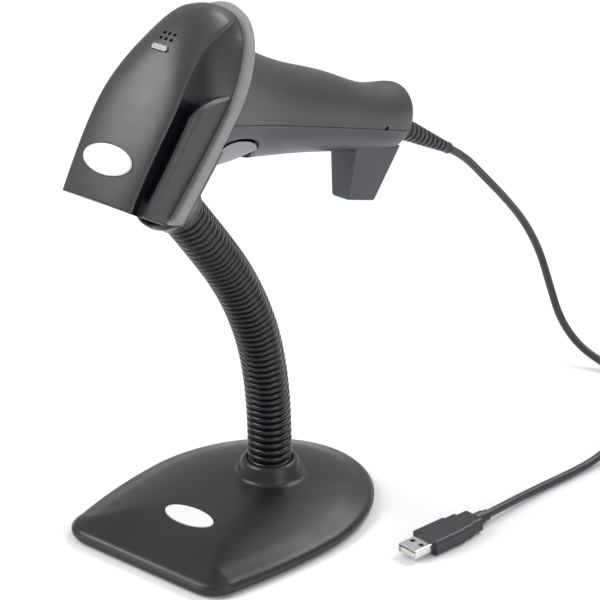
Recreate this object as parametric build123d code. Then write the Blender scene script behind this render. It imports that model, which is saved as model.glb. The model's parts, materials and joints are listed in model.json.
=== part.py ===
from build123d import *
import os
from math import cos, pi, radians, sin, tan

# Handheld barcode scanner resting in its gooseneck desk stand. Millimetres, +Z up.
# Origin: centre of the base's underside. -Y is the front, where the scan window looks down.

# ---- driving dimensions: base -------------------------------------------------------------
BASE_FRONT_HALF = 51.8
BASE_MID_HALF = 59.3
BASE_MID_Y = 1.0
BASE_HALF_LENGTH = 74.4
BASE_CORNER_R = 15.0
COVER_UNDERSIDE = 2.4
BASE_WALL = 2.2
FOOT_R = 8.0
FOOT_HEIGHT = 1.4
FOOT_PLACES = [(-38, -58), (38, -58), (-38, 40), (38, 40), (0, 0)]
SCREW_PLACES = [(-28, -48), (28, -48), (-34, 22), (34, 22)]
BASE_BADGE_Y = -37.0
BASE_BADGE_HALF = (14.4, 7.0)
BOSS_R = 18.6
BOSS_TOP_R = 14.6
BOSS_LOW = 10.0
BOSS_TOP = 22.5
# the cover's rounded form: how far in from its outline, and how high there
BASE_CROWN = [(0, 2.4), (0, 4.6), (1.6, 6.4), (6, 8.0), (14, 10.6), (26, 12.8), (40, 14.0)]

# ---- driving dimensions: gooseneck --------------------------------------------------------
NECK_Y = 22.3
NECK_START_Z = 13.0
NECK_R = 11.0
LINK_LENGTHS = [28, 24, 24, 24, 24, 24, 33.7]
NECK_LEANS = [0, 5, 12, 22, 30, 37, 38.7]
LINK_INTO_SLEEVE = 2.2
RIB_PITCH = 3.5
RIB_DEPTH = 1.7
LINK_SETBACK = 2.5
BALL_R = 6.0
STEM_R = 3.6
BALL_GAP = 0.35

# ---- driving dimensions: scanner head -----------------------------------------------------
HEAD_TILT = 48.9
HEAD_BACK_FROM_CUP = 36.0
HEAD_UP_FROM_CUP = 29.1
HEAD_FRONT_Y = -56.0
HEAD_REAR_Y = 49.5
HEAD_FRONT_HALF = 25.0
HEAD_MID_HALF = 27.5
HEAD_MID_Y = 5.0
HEAD_CORNER_R = 5.0
RING_HALF_HEIGHT = 3.3
RING_OUTER = (28.8, 30.4, -54.8, 5.0, 55.8, 7.0)
RING_INNER = (22.5, 25.3, -50.5, 5.0, 47.3, 4.0)
SHELL_WALL = 2.2
RIM_THICKNESS = 1.4
CROWN_TOP = 32.3
CROWN_FRONT_DROP = 4.8
CAP_REAR_Y = 49.1
LIP_FRONT_HALF = 20.8
LIP_MID_HALF = 22.1
LIP_REAR_HALF = 16.3
LIP_WAIST_Y = 34.0
LIP_TOP = 28.9
LIP_TOP_Y = -12.0
LIP_FRONT_DROP = 4.3
LIP_END = 4.6
LIP_OVERHANG = 1.4
PANEL_FRONT_TOP = 18.8
PANEL_RISE = 3.2
PANEL_REAR_Y = 14.2
PANEL_SLOPE = 35.6
PANEL_CORNER_R = 8.0
CAVITY_LOW = -5.0
FRONT_STATIONS = [-56.0, -28.0, 2.0]
REAR_STATIONS = [12.0, 22.0, 31.0, 39.0, 44.5, 47.5]
FRONT_HOLLOW_STATIONS = [-53.8, -28.0, 2.0]
REAR_HOLLOW_STATIONS = [12.0, 21.0, 29.0, 36.0, 41.0, 44.0]
HEAD_BADGE_Y = -37.0
LIGHT_Y = 18.6
BUZZER_HOLES = [(x, y) for x in (-3.0, 0.0, 3.0) for y in (23.5, 26.5)]
WINDOW_LOW_Z = 5.6
WINDOW_HIGH_Z = 19.4
ENGINE_Z = 12.4

# ---- driving dimensions: handle -----------------------------------------------------------
GRIP_LEAN = 22.5
GRIP_TOP_Y = 5.2
GRIP_END = 160.0
GRIP_SPLIT = 5.0
GRIP_GAP = 0.3
HANDLE_TOP_Z = -8.6
TRIGGER_TOP = 12.0
TRIGGER_END = 47.0
TRIGGER_HALF = 8.0
TRIGGER_PIVOT = (16.0, 14.0)
PIN_HALF = 15.0
RELEASE_HOLE = (4.4, 137.0)
CABLE_HOLE_R = 7.2

# ---- driving dimensions: cable ------------------------------------------------------------
CORD_D = 4.2
BOOT_START = 152.0
BOOT_OFFSET = 3.0
BOOT_LEAN = 12.0
BOOT_LENGTH = 63.0
COIL_CENTRE = (133.8, 205.0)
COIL_MEAN_R = 24.8
COIL_BOTTOM = 1.1
COIL_TURNS_PER_LAYER = 2.25
COIL_LAYERS = 4
PLUG_TIP = (91.2, 17.3)
PLUG_YAW = -7.5
PLUG_AXIS_Z = 4.2
SHELL_SIZE = (12.0, 4.5, 19.0)
OVERMOLD_LENGTH = 33.0
PLUG_LENGTH = 54.0

DROP_ROUTE = [
    (0.0, 174.3, 135.8), (0.4, 191.0, 119.5), (1.5, 209.0, 101.5), (3.2, 225.0, 83.0),
    (5.6, 236.5, 63.0), (9.5, 241.5, 42.0), (16.0, 243.0, 23.0), (28.0, 245.0, 9.5),
    (44.0, 246.5, 3.4), (61.0, 246.0, 2.3), (77.5, 241.0, 2.4), (91.5, 231.0, 2.7),
    (101.0, 218.0, 3.2),
]
LEAD_ROUTE = [
    (104.6, 189.0, 13.2), (104.8, 171.0, 6.8), (104.2, 153.5, 3.0), (102.6, 136.0, 2.5),
    (100.6, 119.5, 2.5), (99.2, 104.0, 2.8), (98.9, 88.5, 3.7),
]


def lean_up(angle):
    """Unit direction that leans forwards (-Y) from the vertical by an angle in degrees."""
    return Vector(0, -sin(radians(angle)), cos(radians(angle)))


def neck_joints():
    """Points along the neck where one link meets the next, from the base to the cup."""
    points = [Vector(0, NECK_Y, NECK_START_Z)]
    for length, lean in zip(LINK_LENGTHS, NECK_LEANS):
        points.append(points[-1] + lean_up(lean) * length)
    return points


NECK_POINTS = neck_joints()
CUP = Plane(origin=NECK_POINTS[-1], x_dir=(1, 0, 0), z_dir=lean_up(HEAD_TILT))
HEAD = Plane(
    origin=CUP.from_local_coords((0, HEAD_BACK_FROM_CUP, HEAD_UP_FROM_CUP)),
    x_dir=(1, 0, 0),
    z_dir=lean_up(HEAD_TILT),
)
# The grip frame lies in the head's own frame: z runs down the handle, +y is the finger side.
GRIP = Plane(
    origin=(0, GRIP_TOP_Y, 0),
    x_dir=(1, 0, 0),
    z_dir=(0, sin(radians(GRIP_LEAN)), -cos(radians(GRIP_LEAN))),
)
BOOT = Plane(
    origin=(0, BOOT_OFFSET, BOOT_START),
    x_dir=(1, 0, 0),
    z_dir=(0, sin(radians(BOOT_LEAN)), cos(radians(BOOT_LEAN))),
)


def on_head(shape):
    return HEAD.location * shape


def on_grip(shape):
    return HEAD.location * GRIP.location * shape


def write(node, shape):
    export_step(shape, f"parts/{node}.step")


def group(shapes):
    return Compound(children=list(shapes))


def block(low, high):
    """A box between two corners."""
    size = [b - a for a, b in zip(low, high)]
    middle = [(a + b) / 2 for a, b in zip(low, high)]
    return Pos(*middle) * Box(*size)


def post(x, y, low, high, radius):
    """An upright cylinder between two heights."""
    return Pos(x, y, (low + high) / 2) * Cylinder(radius, high - low)


def round_ended(front_half, mid_half, front_y, mid_y, rear_y, corner):
    """Outline with a straight front edge, rounded corners, bowed sides and a half-ellipse rear."""
    corner_y = front_y + corner
    bow = front_half + 0.72 * (mid_half - front_half)
    bow_y = (corner_y + mid_y) / 2
    right = [
        Line((0, front_y), (front_half - corner, front_y)),
        CenterArc((front_half - corner, corner_y), corner, -90, 90),
        ThreePointArc((front_half, corner_y), (bow, bow_y), (mid_half, mid_y)),
    ]
    left = [mirror(edge, Plane.YZ) for edge in right]
    rear = EllipticalCenterArc((0, mid_y), mid_half, rear_y - mid_y, 0, arc_size=180)
    return make_face(Curve() + right + left + [rear])


def base_outline(inset):
    return round_ended(
        BASE_FRONT_HALF - inset, BASE_MID_HALF - inset, -BASE_HALF_LENGTH + inset,
        BASE_MID_Y, BASE_HALF_LENGTH - inset, max(BASE_CORNER_R - inset, 3.0),
    )


def head_outline(inset):
    return round_ended(
        HEAD_FRONT_HALF - inset, HEAD_MID_HALF - inset, HEAD_FRONT_Y + inset,
        HEAD_MID_Y, HEAD_REAR_Y - inset, max(HEAD_CORNER_R - inset, 1.0),
    )


# ---- base ---------------------------------------------------------------------------------
def crowned():
    """The cover's outer form: straight rim, soft edge and a slow rise to the middle."""
    return loft([Pos(0, 0, height) * base_outline(step) for step, height in BASE_CROWN], ruled=True)


def crowned_hollow():
    """The space inside the cover, one wall in from its outer form."""
    rim = Pos(0, 0, COVER_UNDERSIDE) * base_outline(BASE_WALL)
    upper = BASE_CROWN[2:]
    roof = [Pos(0, 0, height - BASE_WALL) * base_outline(step + BASE_WALL) for step, height in upper]
    return loft([rim] + roof, ruled=True)


def base_cover():
    """Moulded cover: a thin crowned shell with a boss round the neck and four screw posts."""
    height = BOSS_TOP - BOSS_LOW
    boss = Pos(0, NECK_Y, BOSS_LOW + height / 2) * Cone(BOSS_R, BOSS_TOP_R, height)
    boss = fillet(boss.edges().group_by(Axis.Z)[-1], 2.4)
    shell = crowned() + boss - crowned_hollow()
    for x, y in SCREW_PLACES:
        shell += post(x, y, COVER_UNDERSIDE + 0.2, 11.2, 4.0)
        shell -= post(x, y, 0, 6.6, 1.4)
    shell -= post(0, NECK_Y, 0, 40, NECK_R + 0.3)
    return shell - base_badge_place() * extrude(Ellipse(14.55, 7.15), 6)


def base_badge_place():
    return Pos(0, BASE_BADGE_Y, 12.6) * Rot(3.0, 0, 0)


def base_badge():
    plate = extrude(Ellipse(*BASE_BADGE_HALF), 1.5)
    return base_badge_place() * fillet(plate.edges().group_by(Axis.Z)[-1], 0.4)


def base_bottom_plate():
    """Pressed sheet that closes the underside, with countersinks for the four screws."""
    plate = Pos(0, 0, COVER_UNDERSIDE - 1.2) * extrude(base_outline(1.2), 1.2)
    for x, y in SCREW_PLACES:
        plate -= post(x, y, 0, 4, 1.75)
        plate -= Pos(x, y, 1.7) * Cone(3.3, 2.0, 1.0)
    for x, y in FOOT_PLACES:
        plate -= post(x, y, 0, FOOT_HEIGHT, FOOT_R + 0.3)
    return plate


def base_weight():
    """Steel ballast plate that keeps the leaning neck from tipping the stand."""
    plate = Pos(0, 0, COVER_UNDERSIDE) * extrude(base_outline(12.5), 4.0)
    plate -= post(0, NECK_Y, 0, 20, 17.5)
    for x, y in SCREW_PLACES:
        plate -= post(x, y, 0, 20, 5.0)
    return plate


def base_feet():
    foot = post(0, 0, 0, FOOT_HEIGHT, FOOT_R)
    foot = fillet(foot.edges().group_by(Axis.Z)[0], 0.6)
    return group(Pos(x, y, 0) * foot for x, y in FOOT_PLACES)


def base_screws():
    screw = Pos(0, 0, 1.65) * Cone(3.1, 1.4, 0.9) + post(0, 0, 2.0, 6.2, 1.35)
    screw -= Pos(0, 0, 1.2) * (Box(3.4, 0.7, 1.0) + Box(0.7, 3.4, 1.0))
    return group(Pos(x, y, 0) * screw for x, y in SCREW_PLACES)


# ---- gooseneck ----------------------------------------------------------------------------
def ribbed_profile(start, end):
    """Half outline of a ribbed sleeve between two heights, on the XZ plane."""
    count = max(1, round((end - start) / RIB_PITCH))
    pitch = (end - start) / count
    points = [(NECK_R - RIB_DEPTH, start)]
    for index in range(count):
        low = start + index * pitch
        points += [
            (NECK_R, low + 0.25 * pitch),
            (NECK_R, low + 0.6 * pitch),
            (NECK_R - RIB_DEPTH, low + 0.85 * pitch),
        ]
    points.append((NECK_R - RIB_DEPTH, end))
    return points


def neck_link(length, has_socket, has_ball):
    """One stretch of the gooseneck: a ribbed sleeve with a ball above and a socket below."""
    start = LINK_SETBACK if has_socket else 0
    end = length - LINK_SETBACK if has_ball else length
    outline = [(0, start)] + ribbed_profile(start, end) + [(0, end)]
    body = revolve(Plane.XZ * make_face(Polyline(outline, close=True)), Axis.Z)
    if has_socket:
        body -= Sphere(BALL_R + BALL_GAP)
    if has_ball:
        body += Pos(0, 0, length) * Sphere(BALL_R)
        body += post(0, 0, end - 1, length, STEM_R)
    return body


def neck_links():
    """The links in order from the base, each on its own stretch of the neck's line."""
    links = []
    last = len(NECK_LEANS) - 1
    for index, (length, lean) in enumerate(zip(LINK_LENGTHS, NECK_LEANS)):
        place = Plane(origin=NECK_POINTS[index], x_dir=(1, 0, 0), z_dir=lean_up(lean))
        reach = length + LINK_INTO_SLEEVE * (index == last)
        links.append(place.location * neck_link(reach, index > 0, index < last))
    return links


def neck_ferrule():
    """Steel foot of the neck, threaded below for the nut that clamps it to the cover."""
    flange = post(0, NECK_Y, 9.8, 11.4, 14.0)
    stem = post(0, NECK_Y, 4.0, NECK_START_Z, 8.0)
    return flange + stem - post(0, NECK_Y, 0, 30, 5.0)


def neck_nut():
    nut = Pos(0, NECK_Y, 5.2) * extrude(RegularPolygon(13.0, 6), 4.4)
    return nut - post(0, NECK_Y, 0, 20, 8.05)


# ---- cradle -------------------------------------------------------------------------------
SLEEVE_R = 13.0
SLEEVE_BORE_R = 11.9
CUP_RIM_R = 15.4
CUP_BORE_R = 13.6
CUP_RIM_Z = 14.0
CUP_FLOOR_Z = 6.6
SLEEVE_ROOF_Z = 4.4
DOCK_R = 12.6


def cradle_cup():
    """Smooth sleeve over the neck's end that opens into a round cup for the scanner."""
    profile = [
        (0, SLEEVE_ROOF_Z), (SLEEVE_BORE_R, SLEEVE_ROOF_Z), (SLEEVE_BORE_R, 0), (SLEEVE_R - 0.4, 0),
        (SLEEVE_R, 0.4), (SLEEVE_R + 0.4, 4.0), (CUP_RIM_R - 0.4, 8.5), (CUP_RIM_R, 11.0),
        (CUP_RIM_R, CUP_RIM_Z), (CUP_BORE_R, CUP_RIM_Z), (CUP_BORE_R, CUP_FLOOR_Z), (0, CUP_FLOOR_Z),
    ]
    cup = revolve(Plane.XZ * make_face(Polyline(profile, close=True)), Axis.Z)
    return CUP.location * (cup - post(0, 0, 0, 20, 1.7))


def cradle_pad():
    """Rubber liner in the cup that the scanner's nose sits on."""
    pad = post(0, 0, CUP_FLOOR_Z + 0.05, CUP_FLOOR_Z + 1.2, CUP_BORE_R - 0.1)
    return CUP.location * (pad - post(0, 0, 0, 40, 4.0))


def cradle_screw():
    """Screw through the cup's floor into the neck's end, with a low head inside the pad."""
    screw = post(0, 0, 0.5, CUP_FLOOR_Z + 0.1, 1.6) + post(0, 0, CUP_FLOOR_Z, CUP_FLOOR_Z + 1.0, 3.2)
    return CUP.location * (screw - post(0, 0, CUP_FLOOR_Z + 0.4, 19, 1.2))


# ---- scanner head -------------------------------------------------------------------------
def ease(value, low, high):
    """Smooth rise from 0 to 1 between two values."""
    share = min(1.0, max(0.0, (value - low) / (high - low)))
    return share * share * (3 - 2 * share)


def crown_height(y):
    """Height of the crown above the bumper's middle plane, along the head."""
    if y < 0:
        return CROWN_TOP - CROWN_FRONT_DROP * (y / HEAD_FRONT_Y) ** 2
    return LIP_END + (CROWN_TOP - LIP_END) * (1 - (y / CAP_REAR_Y) ** 4) ** 0.5


def head_half(y):
    """Half width of the head's plan outline at a place along it."""
    if y > HEAD_MID_Y:
        along = (y - HEAD_MID_Y) / (HEAD_REAR_Y - HEAD_MID_Y)
        return HEAD_MID_HALF * (1 - along ** 2) ** 0.5
    share = (y - HEAD_FRONT_Y) / (HEAD_MID_Y - HEAD_FRONT_Y)
    return HEAD_FRONT_HALF + (HEAD_MID_HALF - HEAD_FRONT_HALF) * sin(share * pi / 2)


def lip_half(y):
    """Half width of the cap's crisp lower edge: waisted towards the handle, rounded at its end."""
    half = LIP_FRONT_HALF + (LIP_MID_HALF - LIP_FRONT_HALF) * ease(y, HEAD_FRONT_Y, LIP_TOP_Y)
    half -= (LIP_MID_HALF - LIP_REAR_HALF) * ease(y, LIP_TOP_Y, LIP_WAIST_Y)
    return min(half * (1 - (max(y, 0.0) / CAP_REAR_Y) ** 12) ** 0.5, head_half(y) - 0.1)


def lip_height(y):
    """Height of the cap's lower edge above the bumper's middle plane."""
    if y < LIP_TOP_Y:
        return LIP_TOP - LIP_FRONT_DROP * ((y - LIP_TOP_Y) / (HEAD_FRONT_Y - LIP_TOP_Y)) ** 2
    return LIP_TOP - (LIP_TOP - LIP_END) * ((y - LIP_TOP_Y) / (CAP_REAR_Y - LIP_TOP_Y)) ** 2.9


def dome(half, low, high):
    """Outline of a cap from its right edge over the crown to its left edge."""
    flat = half * 0.2
    return [
        EllipticalCenterArc((flat, low), half - flat, high - low, 0, arc_size=90),
        Line((flat, high), (-flat, high)),
        EllipticalCenterArc((-flat, low), half - flat, high - low, 90, arc_size=90),
    ]


def across_head(y, edges):
    """A closed outline, stood across the head."""
    return Plane(origin=(0, y, 0), x_dir=(1, 0, 0), z_dir=(0, -1, 0)) * make_face(Curve() + edges)


def casing_section(y):
    """Cross-section above the bumper: a hollowed flank each side, the lip over it and the dome."""
    foot, lip, height = head_half(y) - 0.2, lip_half(y), lip_height(y)
    under = height - min(RIM_THICKNESS, 0.3 * (height - RING_HALF_HEIGHT))
    neck = lip - LIP_OVERHANG
    radii = (foot - neck, under - RING_HALF_HEIGHT)
    return across_head(y, [
        Line((-foot, RING_HALF_HEIGHT), (foot, RING_HALF_HEIGHT)),
        EllipticalCenterArc((foot, under), *radii, 180, arc_size=90),
        Line((neck, under), (lip, under)),
        Line((lip, under), (lip, height)),
        *dome(lip, height, crown_height(y)),
        Line((-lip, height), (-lip, under)),
        Line((-lip, under), (-neck, under)),
        EllipticalCenterArc((-foot, under), *radii, 270, arc_size=90),
    ])


def cavity_section(y):
    """Cross-section of the hollow under the cap, one wall in from the flanks and the crown."""
    half = lip_half(y) - LIP_OVERHANG - SHELL_WALL
    shoulder = lip_height(y) - SHELL_WALL
    return across_head(y, [
        Line((-half, CAVITY_LOW), (half, CAVITY_LOW)),
        Line((half, CAVITY_LOW), (half, shoulder)),
        *dome(half, shoulder, crown_height(y) - SHELL_WALL),
        Line((-half, shoulder), (-half, CAVITY_LOW)),
    ])


def along_head(section, front, rear):
    """A solid through sections of the head, in two lofts that meet at their shared station."""
    return loft([section(y) for y in front]) + loft([section(y) for y in [front[-1]] + rear])


def panel_solid(inset, low):
    """The side panels' form: a rising top edge that rounds into a slope down to the bumper."""
    panel = Pos(0, 0, low) * extrude(head_outline(inset), 30.0)
    top = Pos(0, HEAD_FRONT_Y, PANEL_FRONT_TOP - inset) * Rot(PANEL_RISE, 0, 0)
    panel -= top * block((-40, -10, 0), (40, 130, 40))
    rear = Pos(0, PANEL_REAR_Y, RING_HALF_HEIGHT) * Rot(PANEL_SLOPE, 0, 0)
    panel -= rear * block((-40, -inset, -40), (40, 90, 60))
    return fillet(panel.edges().filter_by(Axis.X).sort_by(Axis.Z)[-1], PANEL_CORNER_R - inset)


def head_top_cover():
    """Upper casing: domed cap, the groove along each side and the side panels below it."""
    shell = along_head(casing_section, FRONT_STATIONS, REAR_STATIONS)
    shell += panel_solid(0, RING_HALF_HEIGHT)
    shell -= along_head(cavity_section, FRONT_HOLLOW_STATIONS, REAR_HOLLOW_STATIONS)
    shell -= panel_solid(SHELL_WALL, CAVITY_LOW)
    shell -= window_opening()
    shell -= badge_place() * extrude(Ellipse(14.35, 7.15), 12)
    shell -= Pos(0, LIGHT_Y, 20.0) * extrude(SlotOverall(9.3, 2.9), 20.0)
    for x, y in BUZZER_HOLES:
        shell -= post(x, y, 20.0, 40.0, 0.9)
    return shell


def badge_place():
    return Pos(0, HEAD_BADGE_Y, crown_height(HEAD_BADGE_Y) - 0.7) * Rot(6.5, 0, 0)


def head_badge():
    plate = extrude(Ellipse(14.2, 7.0), 1.2)
    return badge_place() * fillet(plate.edges().group_by(Axis.Z)[-1], 0.5)


def window_opening():
    """The scan window's aperture through the head's front wall."""
    return block((-19, HEAD_FRONT_Y - 2, WINDOW_LOW_Z), (19, HEAD_FRONT_Y + 8, WINDOW_HIGH_Z))


def bumper_ring():
    """Soft bumper clamped between the upper and lower casings, standing proud all round."""
    outer = Pos(0, 0, -RING_HALF_HEIGHT) * extrude(round_ended(*RING_OUTER), 2 * RING_HALF_HEIGHT)
    outer = fillet(outer.edges().group_by(Axis.Z)[-1], 1.6)
    outer = fillet(outer.edges().group_by(Axis.Z)[0], 1.6)
    return outer - Pos(0, 0, -10) * extrude(round_ended(*RING_INNER), 20)


def lower_outer(inset):
    """Outer form of the lower casing: a shallow tray with a deeper nose over the cup."""
    tray = loft([
        Pos(0, 0, -RING_HALF_HEIGHT) * head_outline(2.2 + inset),
        Pos(0, 0, -8.0 + inset) * head_outline(3.4 + inset),
    ])
    nose = loft([
        Pos(0, 0, -RING_HALF_HEIGHT) * head_outline(2.4 + inset),
        Pos(0, 0, -14.5 + inset) * head_outline(5.5 + inset),
    ])
    return tray + (nose & block((-40, -60, -30), (40, -8 - inset, 5)))


def dock():
    """Round spigot under the nose that drops into the stand's cup."""
    spigot = post(0, 0, CUP_FLOOR_Z + 1.6, 24.0, DOCK_R)
    return HEAD.location.inverse() * CUP.location * fillet(spigot.edges().group_by(Axis.Z)[0], 1.5)


def head_lower_housing():
    shell = lower_outer(0) + (dock() & block((-40, -80, -40), (40, 0, -RING_HALF_HEIGHT)))
    shell -= lower_outer(SHELL_WALL)
    shell -= block((-40, -60, -RING_HALF_HEIGHT), (40, 60, 5))
    shell -= GRIP.location * grip_solid(-GRIP_GAP)
    return shell


# ---- handle -------------------------------------------------------------------------------
GRIP_SECTIONS = [
    # distance down the handle, half width, depth of the back strap, depth of the finger side
    (2.0, 25.0, 38.0, 25.0),
    (22.0, 21.5, 30.5, 25.0),
    (46.0, 18.0, 25.0, 24.6),
    (84.0, 16.4, 20.5, 21.4),
    (113.0, 16.0, 16.7, 19.9),
    (131.0, 16.0, 14.6, 19.4),
    (148.0, 16.0, 15.7, 18.8),
    (GRIP_END, 14.6, 15.4, 17.0),
]


def grip_section(distance, half, back, front, inset):
    """Section of the handle: one half-ellipse for the back strap and one for the finger side."""
    edges = [
        EllipticalCenterArc((0, 0), half - inset, front - inset, 0, arc_size=180),
        EllipticalCenterArc((0, 0), half - inset, back - inset, 180, arc_size=180),
    ]
    return Pos(0, 0, distance) * make_face(Curve() + edges)


def grip_solid(inset):
    sections = [grip_section(*section, inset) for section in GRIP_SECTIONS]
    body = loft(sections)
    if inset > 0:
        return body & block((-60, -60, -20), (60, 60, GRIP_END - inset))
    return fillet(body.edges().group_by(Axis.Z)[-1], 5.0)


def handle_foot(inset):
    """Tapered hook at the handle's end that the little finger rests on."""
    root = Rectangle(17.0 - 2 * inset, 35.0 - 2 * inset)
    tip = Rectangle(10.4 - 2 * inset, 20.4 - 2 * inset)
    # these two sections face the finger side, so their local y runs along the handle
    root_place = Plane(origin=(0, 14.0, 143.0), x_dir=(1, 0, 0), z_dir=(0, 1, 0))
    tip_place = Plane(origin=(0, 43.4 - inset, 143.0), x_dir=(1, 0, 0), z_dir=(0, 1, 0))
    foot = loft([root_place * root, tip_place * tip])
    if inset > 0:
        return foot
    return fillet(foot.edges().group_by(Axis.Y)[-1], 1.6)


def below_head(shape):
    """Trim a grip-frame shape where it would reach up into the head."""
    head_in_grip = GRIP.location.inverse() * block((-80, -90, HANDLE_TOP_Z), (80, 90, 60))
    return shape - head_in_grip


def cable_hole():
    return BOOT.location * post(0, 0, -1.0, 30, CABLE_HOLE_R)


def release_hole():
    """Small hole through one side that reaches the latch of the cable's plug."""
    y, z = RELEASE_HOLE
    return Pos(15.0, y, z) * Rot(0, 90, 0) * Cylinder(1.3, 14)


def handle_rear_shell():
    """Back half of the handle, up to the parting line along its sides."""
    shell = below_head(grip_solid(0) - grip_solid(SHELL_WALL))
    shell &= block((-60, -60, -20), (60, GRIP_SPLIT - GRIP_GAP / 2, 200))
    return shell - cable_hole() - release_hole()


def trigger_slot():
    return block((-TRIGGER_HALF - 0.6, 8, TRIGGER_TOP - 2), (TRIGGER_HALF + 0.6, 60, TRIGGER_END + 2.0))


def handle_front_shell():
    """Finger side of the handle, with the trigger's slot and the hollow foot."""
    outer = grip_solid(0) + (handle_foot(0) & block((-60, GRIP_SPLIT + 3, 0), (60, 60, 200)))
    inner = grip_solid(SHELL_WALL) + handle_foot(SHELL_WALL)
    shell = below_head(outer - inner)
    shell &= block((-60, GRIP_SPLIT + GRIP_GAP / 2, -20), (60, 60, 200))
    shell = shell - trigger_slot() + pin_ears()
    return shell - cable_hole() - release_hole()


def pin_ears():
    """Two ears inside the front shell that carry the ends of the trigger's pin."""
    pivot_z, pivot_y = TRIGGER_PIVOT
    ear = block((PIN_HALF - 2.4, GRIP_SPLIT + 2, pivot_z - 4), (24, pivot_y + 3.5, pivot_z + 5))
    ears = (ear + mirror(ear, Plane.YZ)) & grip_solid(0.6)
    return ears - Pos(0, pivot_y, pivot_z) * Rot(0, 90, 0) * Cylinder(1.6, 60)


def trigger():
    """Finger paddle, hinged near the head and bowed out where the finger presses."""
    pivot_z, pivot_y = TRIGGER_PIVOT
    side = make_face(Curve() + [
        Line((TRIGGER_TOP, 16.5), (TRIGGER_TOP, 20.5)),
        Spline((TRIGGER_TOP, 20.5), (24.0, 25.2), (37.0, 27.4), (TRIGGER_END, 22.4)),
        Line((TRIGGER_END, 22.4), (TRIGGER_END, 19.0)),
        Line((TRIGGER_END, 19.0), (TRIGGER_TOP, 16.5)),
    ])
    place = Plane(origin=(0, 0, 0), x_dir=(0, 0, 1), z_dir=(-1, 0, 0))
    paddle = extrude(place * side, TRIGGER_HALF, both=True)
    paddle = fillet(paddle.edges().filter_by(GeomType.BSPLINE), 3.0)
    for side_x in (-TRIGGER_HALF + 1.5, TRIGGER_HALF - 1.5):
        paddle += Pos(side_x, pivot_y, pivot_z) * Rot(0, 90, 0) * Cylinder(3.4, 3)
        paddle += block((side_x - 1.5, pivot_y, pivot_z - 3.4), (side_x + 1.5, 18.0, pivot_z + 3.4))
    striker = block((-2.5, 14.0, 33.0), (2.5, 19.0, 38.0))
    hole = Pos(0, pivot_y, pivot_z) * Rot(0, 90, 0) * Cylinder(1.55, 60)
    return paddle + striker - hole


def trigger_pin():
    pivot_z, pivot_y = TRIGGER_PIVOT
    return Pos(0, pivot_y, pivot_z) * Rot(0, 90, 0) * Cylinder(1.5, 2 * PIN_HALF)


def trigger_spring():
    """Torsion spring round the hinge pin, beside the paddle, with one leg along its back."""
    pivot_z, pivot_y = TRIGGER_PIVOT
    spring = block((9.0, pivot_y - 2.8, pivot_z - 0.4), (12.2, pivot_y - 2.0, pivot_z + 0.4))
    for index in range(3):
        spring += Pos(9.5 + 1.0 * index, pivot_y, pivot_z) * Rot(0, 90, 0) * Torus(2.4, 0.4)
    return spring + block((10.2, pivot_y - 2.8, pivot_z), (10.9, pivot_y - 2.0, pivot_z + 12))


def trigger_switch():
    body = block((-3.0, 6.8, 32.0), (3.0, 10.8, 39.0))
    plunger = Pos(0, 11.5, 35.5) * Rot(90, 0, 0) * Cylinder(1.6, 1.8)
    return body + plunger


# ---- electronics --------------------------------------------------------------------------
def window_bezel():
    frame = block((-18.8, -54.8, WINDOW_LOW_Z + 0.2), (18.8, -51.6, WINDOW_HIGH_Z - 0.2))
    frame -= block((-16.6, -60, WINDOW_LOW_Z + 2), (16.6, -50, WINDOW_HIGH_Z - 2))
    return frame - block((-17.6, -53.2, WINDOW_LOW_Z + 1), (17.6, -50, WINDOW_HIGH_Z - 1))


def scan_window():
    return block((-17.4, -53.1, WINDOW_LOW_Z + 1.2), (17.4, -51.7, WINDOW_HIGH_Z - 1.2))


def scan_engine_body():
    body = block((-11, -45, ENGINE_Z - 7), (11, -27, ENGINE_Z + 7))
    body = fillet(body.edges().filter_by(Axis.Y), 1.2)
    return body - Pos(0, -43, ENGINE_Z) * Rot(90, 0, 0) * Cylinder(5.05, 6)


def engine_lens():
    barrel = Pos(0, -43.2, ENGINE_Z) * Rot(90, 0, 0) * Cylinder(5.0, 5.4)
    dish = Pos(0, -50.5, ENGINE_Z) * Sphere(6.2)
    return barrel - dish


def illumination_leds():
    led = block((-1.6, -47.6, -1.6), (1.6, -45.3, 1.6))
    return group(Pos(x, 0, ENGINE_Z + z) * led for x in (-14, 14) for z in (-3.5, 3.5))


def engine_bracket():
    shelf_z = ENGINE_Z - 8.4
    shelf = block((-16.5, -45.2, shelf_z), (16.5, -24, shelf_z + 1.2))
    ears = [block((x - 2.2, -45.2, shelf_z), (x + 2.2, -44.2, ENGINE_Z + 6)) for x in (-14, 14)]
    return shelf + ears[0] + ears[1]


def main_board():
    board = block((-17, -20, -2.6), (17, 36, -1.0))
    chips = [((-10, -12), 10, 10, 1.4), ((6, -10), 7, 7, 1.1), ((-8, 8), 6, 12, 1.2), ((9, 6), 5, 9, 1.6)]
    for (x, y), width, length, height in chips:
        board += block((x - width / 2, y - length / 2, -1.1), (x + width / 2, y + length / 2, -1 + height))
    return board


def buzzer():
    can = post(0, 26, -0.9, 5.2, 6.0)
    return fillet(can.edges().group_by(Axis.Z)[-1], 0.8) - post(0, 26, 4.2, 6, 1.2)


def status_light():
    """Clear light guide set through the cap, over the indicator on the board."""
    rod = Pos(0, LIGHT_Y, 24.0) * extrude(SlotOverall(9.0, 2.6), 12.0)
    return rod & along_head(casing_section, FRONT_STATIONS, REAR_STATIONS)


def handle_board():
    board = block((-10.5, 5.2, 30), (10.5, 6.6, 128))
    return board + block((-6, 6.5, 70), (6, 7.8, 82)) + block((-4, 6.5, 96), (4, 8.2, 108))


def cable_jack():
    shell = block((-7, -3.2, 129), (7, 9.8, 147))
    return shell - block((-5.2, -1.0, 133), (5.2, 7.6, 152))


def modular_plug():
    return block((-4.9, -0.7, 134), (4.9, 7.3, 150.6)) - block((-3, 6.4, 130), (3, 8, 146))


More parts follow.
